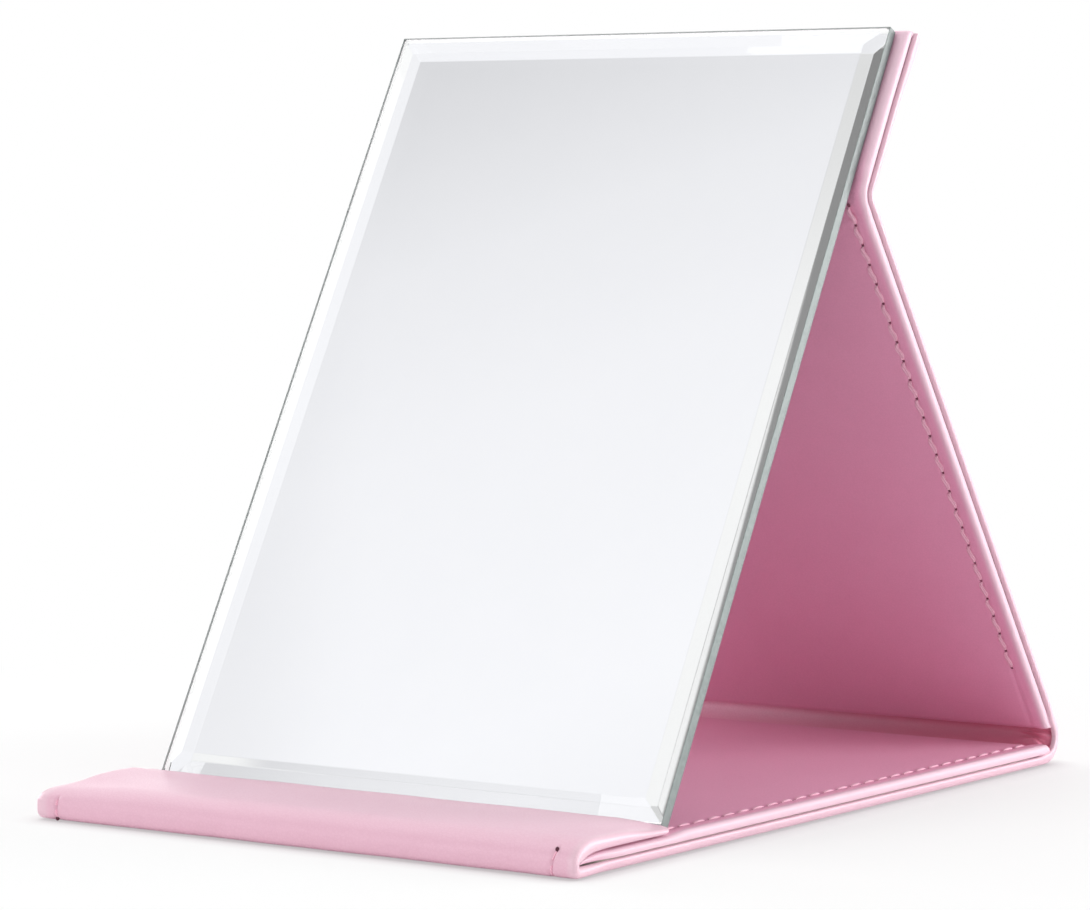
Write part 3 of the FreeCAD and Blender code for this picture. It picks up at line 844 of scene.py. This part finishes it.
def spinePath(outer):
    # Points of the spine's skin from the base to the back panel, eased where it meets them
    points = [basePlace(u, 0) for u in spaced(baseLength - spineRun, baseLength - 0.6, 0.9)]
    first, last = (degrees(spineNormal + turn) for turn in (-spineHalf, spineHalf))
    points += arc(spineCentre, (outer, outer), first, last, 26)
    points += [backPlace(u, 0) for u in spaced(0.6, spineRun, 0.9)]
    for _ in range(3):
        middle = [((a[0] + 2 * b[0] + c[0]) / 4, max(0, (a[1] + 2 * b[1] + c[1]) / 4))
                  for a, b, c in zip(points, points[1:], points[2:])]
        points = [points[0], *middle, points[-1]]
    return points


def raisedRing(points, index, section, depthAt):
    # A ring at one point of a path, each of its points raised square to the path
    before = points[max(0, index - 1)]
    after = points[min(len(points) - 1, index + 1)]
    run = atan2(after[1] - before[1], after[0] - before[0])
    y, z = points[index]
    for x, w in section:
        x, depth = depthAt(x, w, index / (len(points) - 1))
        yield x, y - depth * sin(run), z + depth * cos(run)


def spineDepth(x, w, share):
    if w >= outerFace:
        return x, w
    pleats = effect(spine["pleat"], x=abs(x)) * sin(share * spine["pleatTurns"])
    return x, w - effect(spine["loose"], share=share) * (ripple(x, share * 20, 4.4, 9, 0.22) + pleats)


spinePoints = spinePath(spineRadius + halfSkin)
spineFull = []
for index in range(len(spinePoints)):
    full = effect(spine["full"], share=index / (len(spinePoints) - 1))
    section = blendPairs(leatherSection, spineSection, full)
    spineFull.append([*raisedRing(spinePoints, index, section, spineDepth)])
spineSplit = len(spinePoints) // 2
spineLower = wrapSheet("spineLowerLeather", spineFull[:spineSplit + 1], pinkLeather)
spineUpper = wrapSheet("spineUpperLeather", spineFull[spineSplit:], pinkLeather)
spineY, spineZ = spinePoints[spineSplit]
dressSoft(spineLower, ((rearHinge[0] - 0.6, 0), (spineY, spineZ - 0.6)),
          "rear_spine_leather")
dressSoft(spineUpper, ((spineY, spineZ + 0.6), backPlace(1.2, 0)),
          "rear_spine_leather")
print("outer leather wrapped")

# Inner strips of the spines: the rear one is crumpled at its ends, the front one is smooth.
strip = {
    "thickness": 0.6, "reach": 73.4, "flat": 63.5, "ridge": 0.75, "ridges": 6, "slant": 0.3, "slantFrom": 66,
    "unrest": 0.5, "mid": (1, ("share", 0.06, 0.3), ("share", 0.98, 0.74)), "short": (0.02, ("x", 63.5, 73.4)),
    "crumple": (1, ("x", 63.5, 69.4), ("x", 73.4, 71.4)), "sink": (3, ("x", 69.5, 72.9)), "frontShare": 0.93,
}
stripXs = spaced(-strip["reach"], -strip["flat"], 0.8) + spaced(-strip["flat"], strip["flat"], 6)[1:-1]
stripXs += spaced(strip["flat"], strip["reach"], 0.8)
stripSection = [(x, 0) for x in stripXs] + [(x, strip["thickness"]) for x in reversed(stripXs)]


def smoothDepth(x, w, share):
    # The strip is a little shorter at its two long edges.
    mid = effect(strip["mid"], share=share)
    short = 1 - (1 - mid) * effect(strip["short"], x=abs(x))
    return x * short, w + ripple(x, share * 9, 6.1, 12, 0.15)


def crumpledDepth(x, w, share):
    wave = sin(share * pi * strip["ridges"] + strip["slant"] * (abs(x) - strip["slantFrom"]))
    wave += strip["unrest"] * noise.noise(Vector((x / 3, share * 4, 2)))
    crumple = wave * effect(strip["crumple"], x=abs(x)) - effect(strip["sink"], x=abs(x))
    return smoothDepth(x, w + strip["ridge"] * crumple * effect(strip["mid"], share=share), share)


def cove(corners, count):
    curve = []
    for k in range(count + 1):
        t = k / count
        weights = ((1 - t) ** 3, 3 * t * (1 - t) ** 2, 3 * t * t * (1 - t), t ** 3)
        curve.append(tuple(sum(w * p[i] for w, p in zip(weights, corners)) for i in range(2)))
    return curve


stripPoints = cove((basePlace(baseLength - 5.6, 4.1), basePlace(baseLength - 0.2, 3.7), backPlace(-3.4, 2.4),
                    backPlace(0.6, 3.4)), 44)
rearStrip = [[*raisedRing(stripPoints, k, stripSection, crumpledDepth)] for k in range(len(stripPoints))]
stripSplit = len(stripPoints) // 2
rearStripLower = wrapSheet("rearStripLower", rearStrip[:stripSplit + 1], pleatedLiningPaintedLightShade)
rearStripUpper = wrapSheet("rearStripUpper", rearStrip[stripSplit:], pleatedLiningPaintedLightShade)
stripEnds = [stripPoints[k] for k in (8, stripSplit, len(stripPoints) - 9)]
dressSoft(rearStripLower, stripEnds[:2], "rear_spine_lining")
dressSoft(rearStripUpper, stripEnds[1:], "rear_spine_lining")

frontPoints = cove(((frontHinge[0] + 6, 3.5), (noseFront - 0.6, 3.1), (noseFront - 0.6, 6.3),
                    (flapHinge[0] + 11, 6.1)), 24)[::-1]
frontRings = []
for k in range(len(frontPoints)):
    ring = raisedRing(frontPoints, k, stripSection, smoothDepth)
    frontRings.append([droop(x * strip["frontShare"], y, z) for x, y, z in ring])
frontSplit = len(frontPoints) // 2
frontMiddle = frontPoints[frontSplit]
frontStripUpper = wrapSheet("frontStripUpper", frontRings[:frontSplit + 1], pinkLining)
frontStripLower = wrapSheet("frontStripLower", frontRings[frontSplit:], pinkLining)
dressSoft(frontStripLower, ((frontHinge[0] + 1.4, 3.2), frontMiddle),
          "front_spine_lining")
dressSoft(frontStripUpper, (frontMiddle, (flapHinge[0] + 2.4, 6.2)),
          "front_spine_lining")

# Flap lining: a flat sheet let into the turned edges on the flap's underside
flapInside = {"first": 8.5, "last": flapLength - 1, "level": 2.7, "reach": 71.35, "frontRoll": 0.4,
              "rearRoll": 0.8, "dip": 0.6}
flapFirst, flapLast = flapInside["first"], flapInside["last"]
flapUnder = [(flapInside["reach"], 2.5), (flapInside["reach"], 2), (60, 1.85)]
flapLiningSection = [(x, flapInside["level"]) for x in faceXs if abs(x) < flapInside["reach"] - 0.15]
flapLiningSection += flapUnder + [(0, 1.85)] + [(-x, w) for x, w in reversed(flapUnder)]


def flapLiningRing(u):
    drop = endDrop(u - flapFirst, flapInside["frontRoll"]) + endDrop(flapLast - u, flapInside["rearRoll"])
    for x, w in flapLiningSection:
        level = w
        if w == flapInside["level"]:
            level -= drop + flapInside["dip"] * seamDip(x, u, flapRow)
        yield droop(x, *flapPlace(u, level))


flapLiningStations = [flapFirst, flapFirst + 0.15, *spaced(flapFirst + 0.4, flapLast - 0.4, 1.05),
                      flapLast - 0.15, flapLast]
flapLining = wrapSheet("flapLining", [flapLiningRing(u) for u in flapLiningStations], pinkLining)
flapCore = {"reach": 72.6, "step": 6.05, "low": 1, "high": 1.7, "first": 9.5, "last": flapLength - 2.4, "row": 2.5}
boardXs = spaced(-flapCore["reach"], flapCore["reach"], flapCore["step"])
boardSection = [(x, flapCore["low"]) for x in boardXs] + [(x, flapCore["high"]) for x in reversed(boardXs)]
boardStations = spaced(flapCore["first"], flapCore["last"], flapCore["row"])
flapBoard = wrapSheet("flapBoard", [
    [droop(x, *flapPlace(u, w)) for x, w in boardSection] for u in boardStations], greyBoard)
dress(flapBoard, "flap", "flap_board")
dress(flapLining, "flap", "flap_lining")
print("inner strips laid")

stitch = {"flatness": 1.5, "taper": 0.4, "rise": 0.22, "sink": 0.26, "steepness": 7, "lean": 0.8, "leanChange": 0.4,
          "hole": (0.42, 0.52, 0.16), "holeDepth": 0.42}


def makeStitch():
    # One stitch of thread, drawn along Y
    deselectAll()
    bpy.ops.mesh.primitive_cylinder_add(vertices=8, radius=1, depth=1, rotation=(pi / 2, 0, 0))
    thread = nameActive("stitch", sewingThread)
    applyPlace()
    pickParts(thread, "EDGE", lambda edge: abs(edgeRun(thread, edge).y) > 0.5)
    bpy.ops.mesh.subdivide(number_cuts=9)
    setMode("OBJECT")
    return thread


def copyPiece(proto):
    piece = proto.copy()
    piece.data = proto.data.copy()
    bpy.context.collection.objects.link(piece)
    return piece


def sewStitch(piece, row, side, start, end):
    # The thread rises out of one hole, swings sideways and dives into the next.
    lean = stitch["lean"] + stitch["leanChange"] * noise.noise(Vector((start, side, 3.1)))
    steep = stitch["steepness"]
    for vertex in piece.data.vertices:
        t = vertex.co.y + 0.5
        full = sin(pi * min(1, max(0, t)))
        body = row["radius"] * (1 - stitch["taper"] + stitch["taper"] * full)
        x = side * seamLine + vertex.co.x * body * stitch["flatness"] + row["sway"] * lean * sin(2 * pi * t)
        u = (start + end) / 2 + (t - 0.5) * (end - start - row["gap"])
        rise = stitch["rise"] * max(0, min(1, steep * t, steep * (1 - t))) ** 0.5 - stitch["sink"]
        vertex.co = metres(*row["place"](u, row["level"] + rise + vertex.co.z * body), x)


def sewRow(name, row):
    across, along, deep = stitch["hole"]
    holes = row["holes"]
    pieces = []
    for side in (-1, 1):
        for start, end in zip(holes, holes[1:]):
            pieces.append(copyPiece(stitchProto))
            sewStitch(pieces[-1], row, side, start, end)
        for start in holes:
            pieces.append(copyPiece(holeProto))
            for vertex in pieces[-1].data.vertices:
                level = row["level"] - stitch["holeDepth"] + vertex.co.z * deep
                y, z = row["place"](start + vertex.co.y * along, level)
                vertex.co = metres(y, z, side * seamLine + vertex.co.x * across)
    seam = joinPieces(pieces, name)
    turnOutward()
    bpy.ops.object.shade_smooth_by_angle(angle=radians(60))
    return seam


stitchProto = makeStitch()
deselectAll()
bpy.ops.mesh.primitive_uv_sphere_add(segments=8, ring_count=6, radius=1)
holeProto = nameActive("hole", stitchHoleShade)
dress(sewRow("baseSeam", baseRow), "base", "base_seam")
dress(sewRow("backSeam", backRow), "back_panel", "back_seam")
dress(sewRow("flapSeam", flapRow), "flap", "flap_seam")
for proto in (stitchProto, holeProto):
    bpy.data.objects.remove(proto)
print("seams sewn")

mirror = {"width": 141, "height": 199, "top": 41.5, "back": 5.7, "edge": 2.5, "wall": 0.2, "bevel": 5.3,
          "bevelDepth": 1.136, "arris": 0.12, "silverInset": 1, "silverLap": 0.05, "silverBack": 5.5}
mirrorMiddle = mirror["top"] - mirror["height"] / 2
glassWall = mirror["back"] + mirror["wall"]


def makeGlass():
    # A thin slab is raised to its edge and then to its bevel; its walls and corners get the ground finishes, the
    # paler copy on the far side being painted light.
    width, height, level = mirror["width"], mirror["height"], glassWall
    glass = block("mirrorGlass", metres(height, mirror["wall"], width),
                  metres(mirrorMiddle, mirror["back"] + mirror["wall"] / 2),
                  polishedGlass, groundEdge, frostedEdge, farEdgePaintedLight)
    pickParts(glass, "FACE", lambda face: face.normal.z > 0.9)
    for inset, rise in ((0, mirror["edge"] - mirror["wall"]), (mirror["bevel"], mirror["bevelDepth"])):
        level += rise
        bpy.ops.mesh.extrude_region_move(TRANSFORM_OT_translate={"value": (0, 0, rise * mm)})
        bpy.ops.transform.resize(value=(1 - 2 * inset / width, 1 - 2 * inset / height, 1),
                                 center_override=metres(mirrorMiddle, level))
        width, height = width - 2 * inset, height - 2 * inset
    bpy.ops.mesh.select_all(action="SELECT")
    bpy.ops.mesh.bevel(offset=mirror["arris"] * mm, segments=2, affect="EDGES")
    turnOutward()
    # The far index takes the paler ground copy, painted light.
    near, frosted, far = 1, 2, 3
    for face in glass.data.polygons:
        face.use_smooth = False
        x, y, z = face.normal
        if abs(z) < 0.4:
            upper = face.center.z > glassWall * mm
            hidden = upper and (x < -0.5 or y > 0.5)
            face.material_index = near if x > 0.5 else far if hidden else frosted
        elif 0.4 < z < 0.93:
            face.material_index = near if x > 0.3 else far
    return seatOnMirror(glass)


def makeSilver():
    # A plate of backing paint with the silver on its front, inside a pale border that glows with painted light
    front, back, slack = mirror["back"] + mirror["silverLap"], mirror["silverBack"], mirror["arris"]
    plate = block("mirrorSilver", metres(mirror["height"] - slack, front - back, mirror["width"] - slack),
                  metres(mirrorMiddle, (front + back) / 2), silverCoat, backingPaint, paleRimPaintedGlow)
    silver, paint, border = range(3)
    for face in plate.data.polygons:
        face.material_index = border if face.normal.z > 0.9 else paint
    pickParts(plate, "FACE", lambda face: face.normal.z > 0.9)
    bpy.ops.mesh.inset(thickness=mirror["silverInset"] * mm, depth=0)
    setMode("OBJECT")
    for face in plate.data.polygons:
        if face.select:
            face.material_index = silver
    return seatOnMirror(plate)


dress(makeGlass(), "mirror_panel", "mirror_glass")
dress(makeSilver(), "mirror_panel", "mirror_silvering")


baseCore = {"corner": 9, "steps": 8}


def makeBaseBoard():
    low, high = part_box("base_board")
    board = block("baseBoard", high - low, (low + high) / 2, greyBoard)
    pickParts(board, "EDGE", lambda edge: abs(edgeRun(board, edge).z) > mm)
    bpy.ops.mesh.bevel(offset=baseCore["corner"] * mm, segments=baseCore["steps"], affect="EDGES")
    setMode("OBJECT")
    return board


dress(makeBaseBoard(), "base", "base_board")
for name, material in (("bonding_tape", foamTape), ("back_board", greyBoard), ("top_board", greyBoard)):
    node = frame["nodes"][name]
    node.data.materials.clear()
    node.data.materials.append(material)
print("mirror set")

stage = {"size": 6, "drop": 0.0003, "white": 0.98, "grain": 0.01, "glow": 0.6, "glowSpan": (0.11, 0.3),
         "nook": 0.007, "nookSpan": (0.25, 0.97), "deepest": 0.62, "paintedShadowTone": (0.44, 0.39, 0.415)}


def floorFinish():
    # The floor fades to white away from the part; where the part almost touches it, a painted contact shadow darkens
    # it a little.
    finish = Finish("paleFloor")
    sight = finish.add("LightPath")
    tone = finish.mixColours(finish.noise(8, 2), grey(stage["white"]), grey(stage["white"] - stage["grain"]))
    matte = finish.add("BsdfDiffuse", {"Color": tone})
    glow = finish.add("Emission", {"Color": grey(1), "Strength": 1})
    distance = finish.add("VectorMath", {0: finish.place()}, 1, operation="LENGTH")
    far = finish.ramp(distance, *stage["glowSpan"], 1, stage["glow"])
    lit = finish.mixShaders(sight * far, matte, glow)
    # Painted shadow: an occlusion mask mixes a dim emission into the floor for the camera.
    nook = finish.add("AmbientOcclusion", {"Distance": stage["nook"]}, 1, samples=8)
    shade = finish.ramp(nook, *stage["nookSpan"], 0, stage["deepest"], "LINEAR")
    paintedShadowTone = finish.add("Emission", {"Color": stage["paintedShadowTone"], "Strength": 1})
    return finish.close(finish.mixShaders(sight * shade, lit, paintedShadowTone))


deselectAll()
bpy.ops.mesh.primitive_plane_add(size=stage["size"], location=(0, 0, -stage["drop"]))
floor = nameActive("floor", floorFinish())

# Place, aim, size and power of each lamp
lamps = {
    "topSoftbox": ((-0.25, 0.15, 1.15), (0, 0, 0.05), 0.99, 3.2),
    "rearRightSoftbox": ((0.93, 0.76, 0.13), (0, 0.02, 0.07), 0.65, 14),
    "rightSoftbox": ((1.1, -0.05, 0.34), (0, 0.03, 0.04), 0.6, 1),
    "frontFill": ((-0.3, -1.25, 0.5), (-0.02, -0.05, 0.03), 0.9, 5.4),
    "leftSoftbox": ((-1.05, 0.12, 0.24), (0, 0.02, 0.02), 0.6, 5.8),
}
for name, (place, aim, size, power) in lamps.items():
    bpy.ops.object.light_add(type="AREA", location=place)
    lamp = bpy.context.object
    lamp.name = name
    lamp.data.shape = "SQUARE"
    lamp.data.size = size
    lamp.data.energy = power
    lamp.rotation_mode = "QUATERNION"
    lamp.rotation_quaternion = (Vector(aim) - Vector(place)).to_track_quat("-Z", "Y")

# Each card of the studio has its level, its share and the spans of the directions in which it shows.
studio = {
    "gain": 1.07, "ambient": 0.54, "cool": 1.03, "paleLevels": (0.75, 0.965), "paleSpan": (0.35, 0.415),
    "paleLean": 0.26, "paleFrom": 0.42, "bandLean": 0.105, "bandFrom": 0.541,
    "levels": [(0, 0.85), (0.23, 0.86), (0.29, 1), (0.4, 0.71), (0.445, 0.88), (0.48, 0.945), (0.54, 0.99),
               (0.6, 0.92), (0.66, 0.925), (0.72, 0.97), (0.8, 1), (1, 1.06)],
}
cards = {
    "flank": (0, 0.08, ("left", 0.604, 0.633)),
    "pale": (1, 1, ("paleSide", 0.619, 0.629), ("front", 0.31, 0.34)),
    "left": (1.2, 1, ("left", 0.7, 0.75)),
    "right": (1.08, 1, ("right", -0.46, -0.42)),
    "back": (1.75, 1, ("rear", 0, 0.2), ("right", -0.92, -0.75)),
    "darkBand": (0.38, 1, ("bandSide", -0.8307, -0.8299), ("left", 0.7, 0.75), ("rear", -0.42, -0.34)),
}


def studioWorld():
    # White all round for the camera. Reflections see a soft grey card in front, paler ones at the sides,
    # a bright one at the back and a dark band at the left.
    finish = Finish("studio", world=True)
    gain = studio["gain"]
    sight = finish.add("LightPath")
    glossy = finish.add("LightPath", out=3)
    through = finish.add("LightPath", out=6)
    direction = finish.add("TexCoord")
    right, rear, height = (finish.along(axis, direction) for axis in range(3))
    front, left = 0 - rear, 0 - right
    axes = {"left": left, "right": right, "front": front, "rear": rear,
            "paleSide": left - (front - studio["paleFrom"]) * studio["paleLean"],
            "bandSide": right + (studio["bandFrom"] - height) * studio["bandLean"]}
    tone = finish.add("ValToRGB", {0: front})
    stops = tone.socket.node.color_ramp.elements
    while len(stops) < len(studio["levels"]):
        stops.new(1)
    for stop, (position, level) in zip(stops, studio["levels"]):
        stop.position = position
        stop.color = (*grey(level / gain, studio["cool"]), 1)
    pale = finish.mixColours(finish.ramp(front, *studio["paleSpan"]),
                             *[grey(level / gain) for level in studio["paleLevels"]])
    for name, (level, share, *spans) in cards.items():
        for axis, low, high in spans:
            share = finish.ramp(axes[axis], low, high) * share
        tone = finish.mixColours(share, tone, pale if name == "pale" else grey(level / gain))
    reflected = finish.add("Math", {0: glossy, 1: through}, operation="MAXIMUM")
    tone = finish.mixColours(reflected, grey(studio["ambient"] / gain), tone)
    tone = finish.mixColours(sight, tone, grey(1 / gain))
    light = finish.add("Background", {"Color": tone, "Strength": gain})
    finish.add("OutputWorld", {"Surface": light})
    return finish.owner


bpy.context.scene.world = studioWorld()
bpy.context.scene.view_settings.view_transform = "Standard"

view = {"lens": 138.38, "sensor": 36, "place": (0.5645, -0.81757, 0.14672), "yaw": 35.0125, "pitch": 3.8401,
        "roll": -0.0969}
bpy.ops.object.camera_add(location=view["place"], rotation=(
    radians(90 - view["pitch"]), radians(-view["roll"]), radians(view["yaw"])))
camera = bpy.context.object
camera.name = "photoCamera"
camera.data.lens = view["lens"]
camera.data.sensor_width = view["sensor"]
bpy.context.scene.camera = camera
print("stage lit")

deselectAll()
